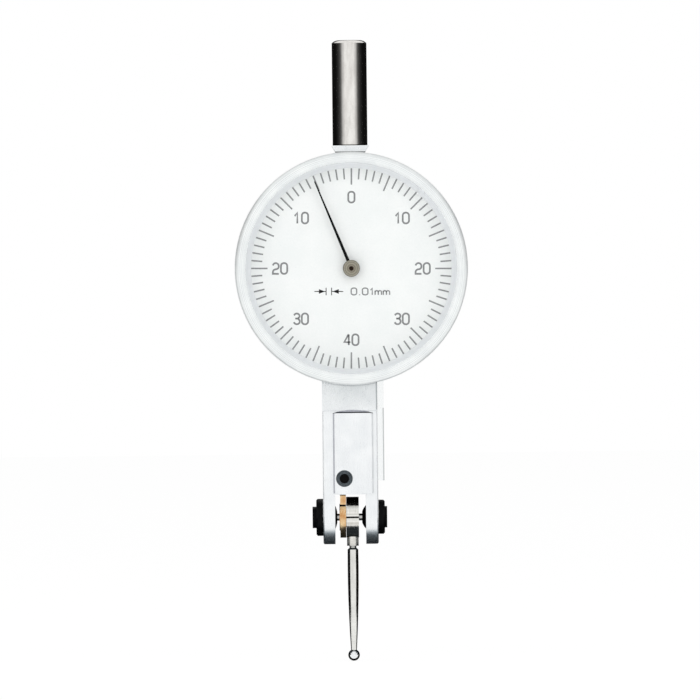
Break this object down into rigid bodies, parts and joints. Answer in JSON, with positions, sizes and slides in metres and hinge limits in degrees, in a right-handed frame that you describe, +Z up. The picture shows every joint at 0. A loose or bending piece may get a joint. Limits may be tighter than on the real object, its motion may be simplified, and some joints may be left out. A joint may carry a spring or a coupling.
{
  "type": "dial test indicator",
  "caption": "Lever-type dial test indicator with a round dial in a turning bezel, a plain mounting stem, dovetails on the case and a swivelling ball-tipped stylus.",
  "frame": {"origin": "on the stem's axis, at the shoulder where the stem meets the top dovetail", "axes": "+Z up along the stem, the dial faces -Y, +X to the right as seen from the front"},
  "size_m": [0.04, 0.016, 0.107],
  "materials": {
    "case_aluminium": "satin",
    "bezel_aluminium": "satin",
    "polished_steel": "polished",
    "screw_steel": "satin",
    "dark_screw": "satin",
    "black_bearing": "satin",
    "spring_steel": "satin",
    "plate_brass": "satin",
    "jewel_ruby": "gloss",
    "crystal_glass": "gloss",
    "gasket_rubber": "matte",
    "dial_rim_white": "satin",
    "dial_white": "matte",
    "lever_brass": "polished",
    "arbor_steel": "polished",
    "stylus_steel": "polished",
    "ball_steel": "polished",
    "needle_black": "matte",
    "pointer_hub_nickel": "satin"
  },
  "bodies": {
    "housing": {"body_case": "case_aluminium", "stem": "polished_steel", "back_cover": "case_aluminium", "back_cover_screws": "screw_steel", "neck_cover": "case_aluminium", "neck_cover_screws": "screw_steel", "front_socket_screw": "dark_screw", "left_pivot_bearing": "black_bearing", "right_pivot_bearing": "black_bearing", "bezel_retaining_wire": "spring_steel", "movement_plate": "plate_brass", "movement_plate_screws": "screw_steel", "crown_bracket_left": "plate_brass", "crown_bracket_right": "plate_brass", "centre_cock": "plate_brass", "movement_screws": "screw_steel", "crown_jewels": "jewel_ruby", "centre_jewels": "jewel_ruby", "sector_jewels": "jewel_ruby", "hairspring_stud": "plate_brass"},
    "bezel": {"bezel_ring": "bezel_aluminium", "crystal": "crystal_glass", "crystal_gasket": "gasket_rubber", "dial_rim": "dial_rim_white", "dial_plate": "dial_white", "dial_retaining_ring": "spring_steel"},
    "contact_lever_body": {"contact_lever": "lever_brass", "pivot_axle": "arbor_steel", "drive_pins": "arbor_steel"},
    "stylus": {"stylus_hub": "stylus_steel", "stylus_shank": "stylus_steel", "contact_ball": "ball_steel"},
    "sector": {"sector_lever": "plate_brass", "sector_arbor": "arbor_steel"},
    "crown": {"crown_wheel": "plate_brass", "crown_arbor": "arbor_steel", "hairspring": "spring_steel", "hairspring_collet": "plate_brass"},
    "pointer_body": {"centre_arbor": "arbor_steel", "pointer": "needle_black", "pointer_hub": "pointer_hub_nickel"}
  },
  "joints": [
    {"name": "bezel_turn", "type": "hinge", "parent": "housing", "child": "bezel", "pos_m": [0, 0, -0.0212], "axis": [0, 1, 0], "continuous": true},
    {"name": "lever_swing", "type": "hinge", "parent": "housing", "child": "contact_lever_body", "pos_m": [0, 0, -0.064], "axis": [1, 0, 0], "range_deg": [0, 2.12], "stiffness_Nm_per_rad": 0.016, "springref_deg": -17.19},
    {"name": "stylus_set", "type": "hinge", "parent": "contact_lever_body", "child": "stylus", "pos_m": [0, 0, -0.064], "axis": [1, 0, 0], "range_deg": [-110, 110]},
    {"name": "sector_swing", "type": "hinge", "parent": "housing", "child": "sector", "pos_m": [0, 0, -0.05598], "axis": [1, 0, 0], "range_deg": [0, 4.25]},
    {"name": "crown_spin", "type": "hinge", "parent": "housing", "child": "crown", "pos_m": [0, -0.0012, -0.0212], "axis": [1, 0, 0], "range_deg": [-119, 0], "deforming": ["hairspring"]},
    {"name": "pointer_spin", "type": "hinge", "parent": "housing", "child": "pointer_body", "pos_m": [0, 0, -0.0212], "axis": [0, 1, 0], "range_deg": [0, 396]}
  ],
  "couplings": [
    {"joint": "sector_swing", "follows": "lever_swing", "ratio": 2},
    {"joint": "crown_spin", "follows": "lever_swing", "ratio": -56},
    {"joint": "pointer_spin", "follows": "lever_swing", "ratio": 186.67}
  ]
}
